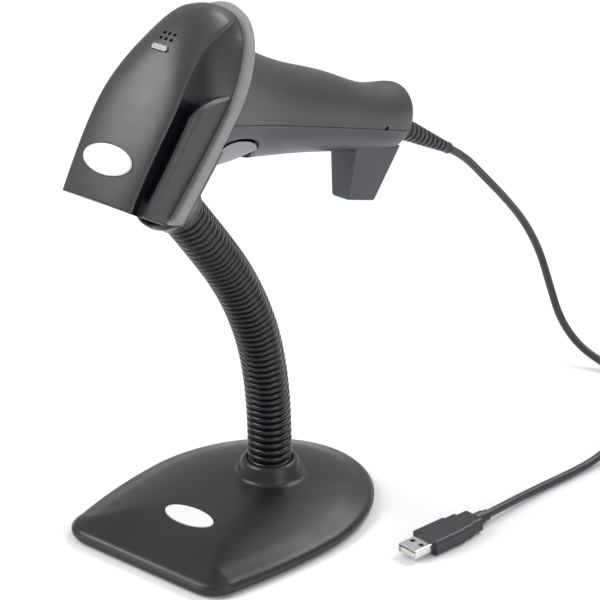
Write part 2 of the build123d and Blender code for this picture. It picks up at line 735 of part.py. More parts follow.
def housing_screws():
    shank = post(0, 0, -5.0, 0.5, 1.1) + post(0, 0, -6.0, -5.0, 2.1)
    return group(Pos(x, y, 0) * shank for x, y in [(-19.5, -22), (19.5, -22), (-20.5, 14), (20.5, 14)])


def handle_screws():
    shank = Pos(0, 4.5, 0) * Rot(90, 0, 0) * (post(0, 0, -4.0, 5.0, 1.1))
    return group(Pos(x, 0, z) * shank for x, z in [(0, 24), (0, 122)])


# ---- cable --------------------------------------------------------------------------------
def strain_relief():
    """Tapered ribbed boot: a root inside the handle and rings that thin towards the cord."""
    steps = 12
    pitch = (BOOT_LENGTH - 10) / steps
    tip_r = CORD_D / 2 + 1.0
    profile = [(CORD_D / 2 + 0.01, 0), (CABLE_HOLE_R - 0.3, 0), (CABLE_HOLE_R - 0.3, 6.0)]
    for index in range(steps):
        low = 8.0 + index * pitch
        radius = 6.4 + (tip_r - 6.4) * index / (steps - 1)
        profile += [(radius - 0.9, low), (radius, low + 0.2), (radius, low + 0.66 * pitch)]
        profile.append((radius - 0.9, low + 0.7 * pitch))
    profile += [(tip_r, BOOT_LENGTH), (CORD_D / 2 + 0.01, BOOT_LENGTH)]
    return BOOT.location * revolve(Plane.XZ * make_face(Polyline(profile, close=True)), Axis.Z)


def cord_exit():
    """Where the cord leaves the boot, in the object's frame."""
    return (HEAD.location * GRIP.location * BOOT.location * Pos(0, 0, BOOT_LENGTH)).position


def cord_tube(points, label):
    """A tube along straight runs joined by the largest tangent arcs that the runs allow."""
    points = [Vector(*p) for p in points]
    radii = []
    for before, here, after in zip(points, points[1:], points[2:]):
        turn = radians((here - before).get_angle(after - here))
        shorter = min((here - before).length, (after - here).length)
        radii.append(0.45 * shorter / tan(turn / 2))
    path = FilletPolyline(*points, radius=radii)
    start = Plane(origin=points[0], z_dir=points[1] - points[0])
    tube = sweep(start * Circle(CORD_D / 2), path=path)
    section = pi * CORD_D ** 2 / 4
    print(label, "length", round(path.length, 1), "volume over section", round(tube.volume / section, 1))
    print(label, "radii", [round(r, 1) for r in radii])
    return tube, path.length


def plug_frame():
    """Plug's own frame: origin at the tip on the floor plane's height, y towards the cord."""
    return Location((PLUG_TIP[0], PLUG_TIP[1], PLUG_AXIS_Z), (0, 0, PLUG_YAW))


def plug_tail():
    return (plug_frame() * Pos(0, PLUG_LENGTH, 0)).position


def usb_shell():
    width, height, length = SHELL_SIZE
    tube = block((-width / 2, 0, -height / 2), (width / 2, length, height / 2))
    tube = fillet(tube.edges().filter_by(Axis.Y), 0.6)
    tube -= block((-width / 2 + 0.3, -1, -height / 2 + 0.3), (width / 2 - 0.3, length + 1, height / 2 - 0.3))
    for x in (-2.9, 2.9):
        tube -= block((x - 1.25, 5.2, 0), (x + 1.25, 7.7, 5))
    return plug_frame() * tube


def usb_tongue():
    return plug_frame() * block((-5.6, 0.8, -1.9), (5.6, 18, -0.1))


def usb_contacts():
    strip = block((-0.5, 1.4, -0.1), (0.5, 12, 0.15))
    places = [-3.5, -1.2, 1.2, 3.5]
    return group(plug_frame() * Pos(x, 0, 0) * strip for x in places)


def usb_overmold():
    """Stepped grip body of the plug with its small ribbed collar."""
    def slab(y0, y1, half, half_height, edge):
        body = block((-half, y0, -half_height), (half, y1, half_height))
        return fillet(body.edges().filter_by(Axis.Y), edge)
    exposed = PLUG_LENGTH - OVERMOLD_LENGTH - 9.0
    front = slab(exposed, 31.0, 8.4, 4.0, 1.6)
    middle = slab(30.9, 38.0, 7.6, 3.8, 1.6)
    rear = slab(37.9, 45.0, 6.4, 3.6, 1.8)
    collar = Pos(0, 47.8, 0) * Rot(90, 0, 0) * Cylinder(3.3, 6.0)
    neck = Pos(0, PLUG_LENGTH - 2.5, 0) * Rot(90, 0, 0) * Cylinder(2.8, 5.0)
    body = front + middle + rear + collar + neck
    body -= block((-6.05, 11, -2.3), (6.05, 19.05, 2.3))
    return plug_frame() * body


def coil_ring(grow):
    """The ring that the tied coil fills, grown by a little all round."""
    half_band = CORD_D * (COIL_TURNS_PER_LAYER + 1) / 2 + grow
    low = COIL_BOTTOM - grow
    high = COIL_BOTTOM + CORD_D * COIL_LAYERS + grow
    ring = post(*COIL_CENTRE, low, high, COIL_MEAN_R + half_band)
    return ring - post(*COIL_CENTRE, low - 1, high + 1, COIL_MEAN_R - half_band)


def cord_coil():
    return fillet(coil_ring(0).edges(), 1.5)


def coil_tie():
    """Hook-and-loop strap wrapped once round the coil's section."""
    x, y = COIL_CENTRE
    strap = coil_ring(1.0) & block((x, y - 5, 0), (x + 60, y + 5, 40))
    return strap - coil_ring(0.05)


def coil_entry(layer):
    """Outer turn of one layer of the coil, where the cord runs into it."""
    x, y = COIL_CENTRE
    height = COIL_BOTTOM + CORD_D * (layer - 0.5)
    return (x - COIL_MEAN_R - CORD_D * COIL_TURNS_PER_LAYER / 2, y, height)


def build_base():
    write("base_cover", base_cover())
    write("base_badge", base_badge())
    write("base_bottom_plate", base_bottom_plate())
    write("base_weight", base_weight())
    write("base_feet", base_feet())
    write("base_screws", base_screws())
    write("neck_ferrule", neck_ferrule())
    write("neck_nut", neck_nut())


def build_neck():
    for index, link in enumerate(neck_links(), start=1):
        write(f"neck_link_{index}", link)
    write("cradle_cup", cradle_cup())
    write("cradle_pad", cradle_pad())
    write("cradle_screw", cradle_screw())


def build_head():
    pieces = [
        head_top_cover, head_badge, status_light, bumper_ring, head_lower_housing, window_bezel,
        scan_window, scan_engine_body, engine_lens, illumination_leds, engine_bracket, main_board,
        buzzer, housing_screws,
    ]
    for piece in pieces:
        write(piece.__name__, on_head(piece()))


def build_handle():
    pieces = [
        handle_rear_shell, handle_front_shell, trigger, trigger_pin, trigger_spring,
        trigger_switch, handle_board, cable_jack, modular_plug, handle_screws, strain_relief,
    ]
    for piece in pieces:
        write(piece.__name__, on_grip(piece()))


def build_cable():
    exit_point = cord_exit()
    drop, drop_length = cord_tube([exit_point] + DROP_ROUTE + [coil_entry(1)], "drop")
    lead, lead_length = cord_tube([coil_entry(COIL_LAYERS)] + LEAD_ROUTE + [plug_tail()], "lead")
    coiled = 2 * pi * COIL_MEAN_R * COIL_TURNS_PER_LAYER * COIL_LAYERS
    print("cord exit", exit_point, "whole cord", round(drop_length + lead_length + coiled, 1))
    write("cord_drop", drop)
    write("cord_lead", lead)
    for piece in [cord_coil, coil_tie, usb_shell, usb_tongue, usb_contacts, usb_overmold]:
        write(piece.__name__, piece())


os.makedirs("parts", exist_ok=True)
build_base()
build_neck()
build_head()
build_handle()
build_cable()
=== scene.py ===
import json
from math import cos, pi, radians, sin, sqrt, tan

import bmesh
import bpy
from mathutils import Matrix, Vector


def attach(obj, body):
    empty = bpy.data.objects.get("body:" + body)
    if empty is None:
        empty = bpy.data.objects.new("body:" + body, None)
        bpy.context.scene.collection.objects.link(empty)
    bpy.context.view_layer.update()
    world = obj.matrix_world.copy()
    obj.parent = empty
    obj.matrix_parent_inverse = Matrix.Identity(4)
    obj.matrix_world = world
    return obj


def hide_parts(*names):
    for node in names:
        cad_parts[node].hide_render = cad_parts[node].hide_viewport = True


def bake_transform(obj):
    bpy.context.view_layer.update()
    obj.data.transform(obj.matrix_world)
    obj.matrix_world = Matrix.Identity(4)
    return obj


# Handheld barcode scanner in its gooseneck stand: camera, light, cord, detailed pieces and materials.
# Lengths below are in millimetres, as in the CAD, and turned to metres where a piece is made.

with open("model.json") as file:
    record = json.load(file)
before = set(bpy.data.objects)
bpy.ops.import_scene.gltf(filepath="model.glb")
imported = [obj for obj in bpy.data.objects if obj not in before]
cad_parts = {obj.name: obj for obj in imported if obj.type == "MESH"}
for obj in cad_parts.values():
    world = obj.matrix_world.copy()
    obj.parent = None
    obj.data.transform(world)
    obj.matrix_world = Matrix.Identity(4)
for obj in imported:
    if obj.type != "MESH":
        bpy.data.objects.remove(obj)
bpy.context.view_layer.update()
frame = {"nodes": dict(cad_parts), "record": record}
nodes = frame["nodes"]
scene = bpy.context.scene

MM = 0.001


# ---- camera and light ---------------------------------------------------------------------
AZIMUTH = radians(40.40)
ELEVATION = radians(24.97)
TARGET = Vector((14.857, 27.945, 110.0)) * MM
DISTANCE = 1.5
LENS = 187.2
SENSOR = 36.0
SURROUND = 0.55


def make_camera():
    """A long lens that looks down on the stand from its front right."""
    data = bpy.data.cameras.new("camera")
    data.lens = LENS
    data.sensor_width = SENSOR
    camera = bpy.data.objects.new("camera", data)
    scene.collection.objects.link(camera)
    back = Vector((
        sin(AZIMUTH) * cos(ELEVATION), -cos(AZIMUTH) * cos(ELEVATION), sin(ELEVATION),
    ))
    camera.location = TARGET + back * DISTANCE
    camera.rotation_euler = (-back).to_track_quat("-Z", "Y").to_euler()
    scene.camera = camera


def area_light(name, place, size, power, aim=TARGET):
    """A soft rectangular light, placed in metres, that faces the aim."""
    data = bpy.data.lights.new(name, "AREA")
    data.shape = "RECTANGLE"
    data.size, data.size_y = size
    data.energy = power
    light = bpy.data.objects.new(name, data)
    scene.collection.objects.link(light)
    light.location = place
    light.rotation_euler = (aim - Vector(place)).to_track_quat("-Z", "Y").to_euler()


def make_light():
    """A white surround, a soft key from the front left, a fill from the right and one from behind."""
    world = bpy.data.worlds.new("studio")
    world.use_nodes = True
    background = world.node_tree.nodes["Background"]
    background.inputs["Color"].default_value = (1.0, 1.0, 1.0, 1.0)
    background.inputs["Strength"].default_value = SURROUND
    scene.world = world
    area_light("key", (-0.9, -0.9, 1.5), (1.0, 1.0), 22.0)
    area_light("right_fill", (1.5, -0.2, 0.7), (0.7, 1.2), 6.0)
    area_light("top_rear", (0.2, 1.1, 1.3), (1.4, 0.6), 14.0)
    scene.view_settings.view_transform = "Standard"


# ---- materials ----------------------------------------------------------------------------
def new_material(name, color, roughness, metallic=0.0):
    """A node material, with its tree and its shader."""
    material = bpy.data.materials.new(name)
    material.use_nodes = True
    tree = material.node_tree
    shader = tree.nodes["Principled BSDF"]
    shader.inputs["Base Color"].default_value = (*color, 1.0)
    shader.inputs["Roughness"].default_value = roughness
    shader.inputs["Metallic"].default_value = metallic
    return material, tree, shader


def noise(tree, scale, detail=2.0, stretch=(1, 1, 1)):
    """Noise over the object's own coordinates, in metres."""
    place = tree.nodes.new("ShaderNodeTexCoord")
    mapping = tree.nodes.new("ShaderNodeMapping")
    mapping.inputs["Scale"].default_value = stretch
    texture = tree.nodes.new("ShaderNodeTexNoise")
    texture.inputs["Scale"].default_value = scale
    texture.inputs["Detail"].default_value = detail
    tree.links.new(place.outputs["Object"], mapping.inputs["Vector"])
    tree.links.new(mapping.outputs["Vector"], texture.inputs["Vector"])
    return texture.outputs["Fac"]


def remap(tree, value, low, high, start=0.3, end=0.7):
    """A value brought from one range to another."""
    node = tree.nodes.new("ShaderNodeMapRange")
    node.inputs["From Min"].default_value = start
    node.inputs["From Max"].default_value = end
    node.inputs["To Min"].default_value = low
    node.inputs["To Max"].default_value = high
    tree.links.new(value, node.inputs["Value"])
    return node.outputs["Result"]


def mottle(tree, shader, color, amount, scale):
    """Soft colour variation over the surface, as uneven pigment or light soiling gives."""
    ramp = tree.nodes.new("ShaderNodeValToRGB")
    ramp.color_ramp.elements[0].position = 0.32
    ramp.color_ramp.elements[1].position = 0.68
    ramp.color_ramp.elements[0].color = (*[c * (1 - amount) for c in color], 1.0)
    ramp.color_ramp.elements[1].color = (*[min(1.0, c * (1 + amount)) for c in color], 1.0)
    tree.links.new(noise(tree, scale, 4.0), ramp.inputs["Fac"])
    tree.links.new(ramp.outputs["Color"], shader.inputs["Base Color"])


def bump(tree, shader, height, strength, depth, below=None):
    """Surface relief, added to the relief below it where there is one."""
    node = tree.nodes.new("ShaderNodeBump")
    node.inputs["Strength"].default_value = strength
    node.inputs["Distance"].default_value = depth
    tree.links.new(height, node.inputs["Height"])
    if below is not None:
        tree.links.new(below, node.inputs["Normal"])
    tree.links.new(node.outputs["Normal"], shader.inputs["Normal"])
    return node.outputs["Normal"]


def moulded(name, color, roughness, grain=0.25, amount=0.07, coat=0.0):
    """Injection-moulded plastic or rubber: fine spark-eroded grain, faint flow waves, rubbed sheen."""
    material, tree, shader = new_material(name, color, roughness)
    mottle(tree, shader, color, amount, 60.0)
    worn = remap(tree, noise(tree, 34.0, 5.0), roughness - 0.06, roughness + 0.07)
    tree.links.new(worn, shader.inputs["Roughness"])
    waves = bump(tree, shader, noise(tree, 110.0, 1.0), 0.12, 0.0004)
    bump(tree, shader, noise(tree, 1500.0, 3.0), grain, 0.00016, waves)
    shader.inputs["Coat Weight"].default_value = coat
    shader.inputs["Coat Roughness"].default_value = 0.2
    return material


def metal(name, color, roughness, stretch=(1, 1, 14)):
    """Plated or drawn metal: fine brushed lines and a little uneven polish."""
    material, tree, shader = new_material(name, color, roughness, 1.0)
    mottle(tree, shader, color, 0.06, 90.0)
    lines = noise(tree, 260.0, 6.0, stretch)
    polish = remap(tree, lines, roughness - 0.07, roughness + 0.10)
    tree.links.new(polish, shader.inputs["Roughness"])
    bump(tree, shader, lines, 0.10, 0.00005)
    return material


def clear_tint(name, color, roughness, transmission):
    """Glass or clear plastic with a tint and faint smears."""
    material, tree, shader = new_material(name, color, roughness)
    shader.inputs["Transmission Weight"].default_value = transmission
    shader.inputs["IOR"].default_value = 1.49
    shader.inputs["Coat Weight"].default_value = 0.6
    shader.inputs["Coat Roughness"].default_value = 0.05
    smear = remap(tree, noise(tree, 45.0, 6.0), roughness, roughness + 0.10)
    tree.links.new(smear, shader.inputs["Roughness"])
    return material


def laminate(name, color):
    """Circuit board: solder mask over a faint grid of tracks."""
    material, tree, shader = new_material(name, color, 0.35)
    place = tree.nodes.new("ShaderNodeTexCoord")
    bricks = tree.nodes.new("ShaderNodeTexBrick")
    bricks.inputs["Scale"].default_value = 240.0
    bricks.inputs["Color1"].default_value = (*color, 1.0)
    bricks.inputs["Color2"].default_value = (*[c * 1.3 for c in color], 1.0)
    bricks.inputs["Mortar"].default_value = (*[c * 2.0 for c in color], 1.0)
    bricks.inputs["Mortar Size"].default_value = 0.05
    tree.links.new(place.outputs["Object"], bricks.inputs["Vector"])
    tree.links.new(bricks.outputs["Color"], shader.inputs["Base Color"])
    bump(tree, shader, bricks.outputs["Fac"], 0.2, 0.0001)
    return material


def woven(name, color):
    """Hook-and-loop strap: crossing threads and a soft fuzz."""
    material, tree, shader = new_material(name, color, 0.85)
    mottle(tree, shader, color, 0.25, 300.0)
    place = tree.nodes.new("ShaderNodeTexCoord")
    weave = tree.nodes.new("ShaderNodeTexWave")
    weave.inputs["Scale"].default_value = 420.0
    weave.inputs["Distortion"].default_value = 1.5
    tree.links.new(place.outputs["Object"], weave.inputs["Vector"])
    threads = bump(tree, shader, weave.outputs["Fac"], 0.5, 0.0004)
    bump(tree, shader, noise(tree, 1400.0, 4.0), 0.6, 0.0003, threads)
    shader.inputs["Sheen Weight"].default_value = 0.5
    return material


CASE_GREY = (0.036, 0.038, 0.037)
# painted shade: a near-black that stands in for the shadow in the groove and under the cap's edge
GROOVE_SHADE_BLACK = (0.004, 0.005, 0.009)
# one material for each slot that the record names
MATERIALS = {
    "base_plastic": moulded("base_satin", (0.009, 0.011, 0.012), 0.34, 0.30, 0.12),
    "badge_film": moulded("badge_white", (0.84, 0.85, 0.845), 0.25, 0.05, 0.015, 0.4),
    "base_sheet": moulded("base_sheet_paint", (0.020, 0.020, 0.022), 0.45, 0.35, 0.12),
    "ballast_steel": metal("ballast_raw", (0.12, 0.12, 0.12), 0.55),
    "foot_rubber": moulded("foot_black_rubber", (0.014, 0.014, 0.015), 0.75, 0.5, 0.15),
    "screw_steel": metal("screw_zinc", (0.46, 0.47, 0.48), 0.30),
    "plated_steel": metal("ferrule_plate", (0.52, 0.52, 0.53), 0.32),
    "neck_plastic": moulded("neck_black", (0.006, 0.007, 0.010), 0.26, 0.16, 0.15),
    "cup_plastic": moulded("cup_satin", (0.030, 0.034, 0.038), 0.33, 0.22, 0.08),
    "case_plastic": moulded("case_warm_grey", CASE_GREY, 0.36, 0.26, 0.08),
    "bumper_rubber": moulded("bumper_grey", (0.235, 0.24, 0.25), 0.50, 0.35, 0.05),
    "trigger_plastic": moulded("trigger_lavender", (0.20, 0.205, 0.225), 0.36, 0.2, 0.05),
    "light_guide": clear_tint("light_guide_smoke", (0.16, 0.19, 0.18), 0.18, 0.5),
    "bezel_plastic": moulded("bezel_black", (0.010, 0.010, 0.011), 0.18, 0.1, 0.1, 0.5),
    "window_pane": clear_tint("window_red", (0.20, 0.008, 0.012), 0.06, 0.35),
    "engine_metal": metal("engine_cast", (0.30, 0.30, 0.31), 0.45),
    "lens_glass": clear_tint("lens_glass", (0.62, 0.68, 0.75), 0.03, 0.9),
    "led_plastic": clear_tint("led_clear", (0.85, 0.80, 0.66), 0.12, 0.4),
    "board_laminate": laminate("board_green", (0.018, 0.11, 0.045)),
    "black_plastic": moulded("component_black", (0.012, 0.012, 0.013), 0.42, 0.3, 0.1),
    "clear_plastic": clear_tint("plug_clear", (0.70, 0.72, 0.73), 0.15, 0.6),
    "cord_jacket": moulded("cord_slate", (0.022, 0.025, 0.030), 0.38, 0.2, 0.10),
    "tie_fabric": woven("tie_black", (0.020, 0.020, 0.021)),
    "shell_plate": metal("usb_nickel", (0.78, 0.78, 0.79), 0.16),
    "tongue_plastic": moulded("tongue_white", (0.75, 0.75, 0.74), 0.35, 0.15, 0.03),
    "contact_plate": metal("contact_gold", (0.82, 0.62, 0.27), 0.2),
}
HANDLE_FRONT = moulded("handle_blue_grey", (0.040, 0.045, 0.055), 0.38, 0.26, 0.08)


def with_painted_shade(name, color, shade_color, roughness, grain, amount):
    """Moulded plastic mixed towards a near-black by the mesh's painted-shade attribute: painted shade in
    the groove and under the cap's edge.
    """
    material = moulded(name, color, roughness, grain, amount)
    tree = material.node_tree
    shader = tree.nodes["Principled BSDF"]
    plain = shader.inputs["Base Color"].links[0].from_socket
    shade_mark = tree.nodes.new("ShaderNodeAttribute")
    shade_mark.attribute_name = "liner"
    mix = tree.nodes.new("ShaderNodeMix")
    mix.data_type = "RGBA"
    plain_input, shade_input, mixed_output = mix.inputs[6], mix.inputs[7], mix.outputs[2]
    shade_input.default_value = (*shade_color, 1.0)
    tree.links.new(shade_mark.outputs["Fac"], mix.inputs["Factor"])
    tree.links.new(plain, plain_input)
    tree.links.new(mixed_output, shader.inputs["Base Color"])
    return material


# Painted shade: the groove's faces take this near-black glossy material in place of the shadow in the
# groove, and the grey cover darkens towards it where its painted-shade attribute says so.
GROOVE_PAINTED_SHADE = moulded("groove_painted_shade_blue_black", GROOVE_SHADE_BLACK, 0.22, 0.12, 0.1)
GROOVE_PAINTED_SHADE.node_tree.nodes["Principled BSDF"].inputs["Specular IOR Level"].default_value = 0.2
COVER_WITH_PAINTED_SHADE = with_painted_shade("case_grey_painted_shade", CASE_GREY, GROOVE_SHADE_BLACK, 0.36, 0.26, 0.08)


def dress_cad_nodes():
    """Every CAD node takes the detailed material of its slot in the record."""
    for part in frame["record"]["subparts"]:
        for holder in nodes[part["node"]].material_slots:
            holder.material = MATERIALS[part["material_slot"]]
    for holder in nodes["handle_front_shell"].material_slots:
        holder.material = HANDLE_FRONT


# ---- mesh helpers -------------------------------------------------------------------------
def mesh_piece(name, verts, faces, slot, body=None, crease=30.0):
    """A mesh piece from points in millimetres, smooth except along edges sharper than crease."""
    mesh = bpy.data.meshes.new(name)
    mesh.from_pydata([Vector(v) * MM for v in verts], [], faces)
    piece = bpy.data.objects.new(name, mesh)
    scene.collection.objects.link(piece)
    smooth_mesh(mesh, crease)
    mesh.materials.append(MATERIALS[slot])
    if body:
        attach(piece, body)
    return piece


def smooth_mesh(mesh, crease):
    """Merge doubled points, face outwards and shade smooth between creases."""
    grid = bmesh.new()
    grid.from_mesh(mesh)
    bmesh.ops.remove_doubles(grid, verts=grid.verts, dist=2e-6)
    bmesh.ops.dissolve_degenerate(grid, dist=2e-6, edges=grid.edges)
    bmesh.ops.recalc_face_normals(grid, faces=grid.faces)
    for face in grid.faces:
        face.smooth = True
    for edge in grid.edges:
        edge.smooth = edge.calc_face_angle(0.0) < radians(crease)
    grid.to_mesh(mesh)
    grid.free()


def skin(rows):
    """Faces that join rows of equally many points, each row a closed ring."""
    count = len(rows[0])
    verts = [point for row in rows for point in row]
    faces = []
    for low in range(len(rows) - 1):
        for index in range(count):
            after = (index + 1) % count
            faces.append((
                low * count + index, low * count + after,
                (low + 1) * count + after, (low + 1) * count + index,
            ))
    return verts, faces


def carve(piece, cutters, crease=30.0):
    """Cut other meshes, given in millimetres as (verts, faces), out of a piece."""
    helpers = []
    for verts, faces in cutters:
        mesh = bpy.data.meshes.new("cutter")
        mesh.from_pydata([Vector(v) * MM for v in verts], [], faces)
        smooth_mesh(mesh, crease)
        helper = bpy.data.objects.new("cutter", mesh)
        scene.collection.objects.link(helper)
        helpers.append(helper)
        cut = piece.modifiers.new("cut", "BOOLEAN")
        cut.operation = "DIFFERENCE"
        cut.solver = "EXACT"
        cut.object = helper
    bpy.context.view_layer.update()
    done = bpy.data.meshes.new_from_object(piece.evaluated_get(bpy.context.evaluated_depsgraph_get()))
    piece.modifiers.clear()
    piece.data = done
    for helper in helpers:
        bpy.data.objects.remove(helper)
    smooth_mesh(done, crease)


def prism(outline, low, high, place=None):
    """Closed column over a flat outline between two heights, moved by a matrix in millimetres."""
    count = len(outline)
    verts = [Vector((x, y, z)) for z in (low, high) for x, y in outline]
    if place is not None:
        verts = [place @ v for v in verts]
    sides = [(i, (i + 1) % count, count + (i + 1) % count, count + i) for i in range(count)]
    return verts, sides + [tuple(range(count))[::-1], tuple(range(count, 2 * count))]


def ellipse(half_x, half_y, count=64, centre=(0.0, 0.0)):
    """Outline of an ellipse."""
    turns = [2 * pi * i / count for i in range(count)]
    return [(centre[0] + half_x * cos(a), centre[1] + half_y * sin(a)) for a in turns]


def smoothstep(value, low, high):
    """Smooth rise from 0 to 1 between two values."""
    share = min(1.0, max(0.0, (value - low) / (high - low)))
    return share * share * (3 - 2 * share)


def soft_curve(x, knots):
    """Smooth curve through (x, y) knots, level beyond both ends."""
    if x <= knots[0][0]:
        return knots[0][1]
    if x >= knots[-1][0]:
        return knots[-1][1]
    index = next(i for i in range(len(knots) - 1) if x < knots[i + 1][0])

    def slope(i):
        low, high = max(i - 1, 0), min(i + 1, len(knots) - 1)
        return (knots[high][1] - knots[low][1]) / (knots[high][0] - knots[low][0])

    (x0, y0), (x1, y1) = knots[index], knots[index + 1]
    t, run = (x - x0) / (x1 - x0), x1 - x0
    return (
        y0 * (2 * t ** 3 - 3 * t ** 2 + 1) + slope(index) * run * (t ** 3 - 2 * t ** 2 + t)
        + y1 * (3 * t ** 2 - 2 * t ** 3) + slope(index + 1) * run * (t ** 3 - t ** 2)
    )


# ---- frames of the neck, cup, head and handle, as in the CAD --------------------------------
NECK_Y = 22.3
NECK_START_Z = 13.0
NECK_R = 11.0
LINK_LENGTHS = [28, 24, 24, 24, 24, 24, 33.7]
NECK_LEANS = [0, 5, 12, 22, 30, 37, 38.7]
HEAD_TILT = 48.9
HEAD_BACK_FROM_CUP = 36.0
HEAD_UP_FROM_CUP = 29.1
GRIP_LEAN = 22.5
GRIP_TOP_Y = 5.2
BOOT_START = 152.0
BOOT_OFFSET = 3.0
BOOT_LEAN = 12.0
BOOT_LENGTH = 63.0


def lean_up(angle):
    """Upward direction leant forward by an angle."""
    return Vector((0, -sin(radians(angle)), cos(radians(angle))))


def neck_joints():
    """The middles of the neck's joints, from the base to the cup."""
    points = [Vector((0, NECK_Y, NECK_START_Z))]
    for length, lean in zip(LINK_LENGTHS, NECK_LEANS):
        points.append(points[-1] + lean_up(lean) * length)
    return points


def plane_matrix(origin, tilt):
    """The frame at a point, with its upward axis leant forward."""
    up = lean_up(tilt)
    side = Vector((1, 0, 0))
    return Matrix.Translation(origin) @ Matrix((side, up.cross(side), up)).transposed().to_4x4()


def turned(origin, angle):
    """A frame moved to an origin and turned about the sideways axis."""
    return Matrix.Translation(origin) @ Matrix.Rotation(radians(angle), 4, "X")


JOINTS = neck_joints()
CUP = plane_matrix(JOINTS[-1], HEAD_TILT)
HEAD = plane_matrix(CUP @ Vector((0, HEAD_BACK_FROM_CUP, HEAD_UP_FROM_CUP)), HEAD_TILT)
GRIP = HEAD @ turned((0, GRIP_TOP_Y, 0), 180 + GRIP_LEAN)
BOOT = GRIP @ turned((0, BOOT_OFFSET, BOOT_START), -BOOT_LEAN)


# ---- cord ---------------------------------------------------------------------------------
CORD_D = 4.2
CORD_EXIT = tuple(round(c, 3) for c in BOOT @ Vector((0, 0, BOOT_LENGTH)))
DROP_ROUTE = [
    (0.0, 174.3, 135.8), (0.4, 191.0, 119.5), (1.5, 209.0, 101.5), (3.2, 225.0, 83.0),
    (5.6, 236.5, 63.0), (9.5, 241.5, 42.0), (16.0, 243.0, 23.0), (28.0, 245.0, 9.5),
    (44.0, 246.5, 3.4), (61.0, 246.0, 2.3), (77.5, 241.0, 2.4), (91.5, 231.0, 2.7),
    (101.0, 218.0, 3.2),
]
COIL_CENTRE = (133.8, 205.0)
COIL_MEAN_R = 24.8
COIL_LOW_Z = 3.2
COIL_LAYERS = 4
TURNS_PER_LAYER = 2.25
STEPS_PER_TURN = 16
LEAD_ROUTE = [
    (104.6, 189.0, 13.2), (104.8, 171.0, 6.8), (104.2, 153.5, 3.0), (102.6, 136.0, 2.5),
    (100.6, 119.5, 2.5), (99.2, 104.0, 2.8), (98.9, 88.5, 3.7),
]
PLUG_TIP = (91.2, 17.3)
PLUG_YAW = radians(-7.5)
PLUG_LENGTH = 54.0
PLUG_AXIS_Z = 4.2
LEAD_END = (
    round(PLUG_TIP[0] - PLUG_LENGTH * sin(PLUG_YAW), 2),
    round(PLUG_TIP[1] + PLUG_LENGTH * cos(PLUG_YAW), 2), PLUG_AXIS_Z,
)


def coil_route():
    """Control points of the coil: each layer winds in or out beside itself, then steps up."""
    per_layer = round(TURNS_PER_LAYER * STEPS_PER_TURN)
    outer_r = COIL_MEAN_R + TURNS_PER_LAYER * CORD_D / 2
    points = []
    for step in range(COIL_LAYERS * per_layer + 1):
        layer, along = divmod(step, per_layer)
        inwards = CORD_D * along / STEPS_PER_TURN
        if layer % 2:
            inwards = CORD_D * (per_layer - along) / STEPS_PER_TURN
        level = max(0.0, layer - 1 + smoothstep(along, -2, 5))
        if layer == COIL_LAYERS:
            level, inwards = COIL_LAYERS - 1, 0
        turn = pi + 2 * pi * step / STEPS_PER_TURN
        radius = outer_r - inwards
        points.append((
            COIL_CENTRE[0] + radius * cos(turn), COIL_CENTRE[1] + radius * sin(turn),
            COIL_LOW_Z + CORD_D * level,
        ))
    return points


def make_cord():
    """The whole cable as one smooth line, from the boot through the coil to the plug."""
    data = bpy.data.curves.new("cord", "CURVE")
    data.dimensions = "3D"
    data.bevel_depth = CORD_D / 2 * MM
    data.bevel_resolution = 5
    data.use_fill_caps = True
    data.resolution_u = 6
    spline = data.splines.new("NURBS")
    route = [CORD_EXIT] + DROP_ROUTE + coil_route() + LEAD_ROUTE + [LEAD_END]
    spline.points.add(len(route) - 1)
    for point, place in zip(spline.points, route):
        point.co = (*[c * MM for c in place], 1.0)
    spline.order_u = 3
    spline.use_endpoint_u = True
    spline.use_smooth = True
    cord = bpy.data.objects.new("cord", data)
    scene.collection.objects.link(cord)
    data.materials.append(MATERIALS["cord_jacket"])
    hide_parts("cord_drop", "cord_coil", "cord_lead")
    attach(cord, "scanner")


# ---- floor --------------------------------------------------------------------------------
FLOOR_HALF = 4000.0
FLOOR_Z = -0.2
FLOOR_WHITE = (0.90, 0.90, 0.90)


def make_floor():
    """A plain pale sheet, just under the feet."""
    corners = [(-1, -1), (1, -1), (1, 1), (-1, 1)]
    verts = [Vector((x * FLOOR_HALF, y * FLOOR_HALF, FLOOR_Z)) * MM for x, y in corners]
    mesh = bpy.data.meshes.new("floor")
    mesh.from_pydata(verts, [], [(0, 1, 2, 3)])
    floor = bpy.data.objects.new("floor", mesh)
    scene.collection.objects.link(floor)
    paper, tree, shader = new_material("floor_paper", FLOOR_WHITE, 0.9)
    mottle(tree, shader, FLOOR_WHITE, 0.008, 6.0)
    mesh.materials.append(paper)


# ---- gooseneck ----------------------------------------------------------------------------
RIB_PITCH = 3.5
RIB_DROP = 1.7
RIB_STEPS = 8
RING_STEPS = 56
NECK_INTO_NUT = 1.4
NECK_INTO_CUP = 2.0


def rib_radius(share):
    """Radius along one rib: a rounded crest between narrow valleys."""
    return NECK_R - RIB_DROP * abs(2 * share - 1) ** 4


def bend_point(start, corner, end, t):
    """Point and direction on the smooth bend from one link's middle to the next one's."""
    place = start * (1 - t) ** 2 + corner * 2 * t * (1 - t) + end * t ** 2
    heading = (corner - start) * (1 - t) + (end - corner) * t
    return place, heading.normalized()


def ribbed_tube(name, start, corner, end):
    """Ribbed skin along one bend, starting and ending in a valley."""
    run = (end - start).length
    ribs = max(1, round(run / RIB_PITCH))
    rows = []
    for step in range(ribs * RIB_STEPS + 1):
        place, heading = bend_point(start, corner, end, step / (ribs * RIB_STEPS))
        side = Vector((1, 0, 0))
        across = heading.cross(side)
        radius = rib_radius(step / RIB_STEPS % 1)
        rows.append([
            place + (side * cos(a) + across * sin(a)) * radius
            for a in (2 * pi * i / RING_STEPS for i in range(RING_STEPS))
        ])
    verts, faces = skin(rows)
    return mesh_piece(name, verts, faces, "neck_plastic", crease=60.0)


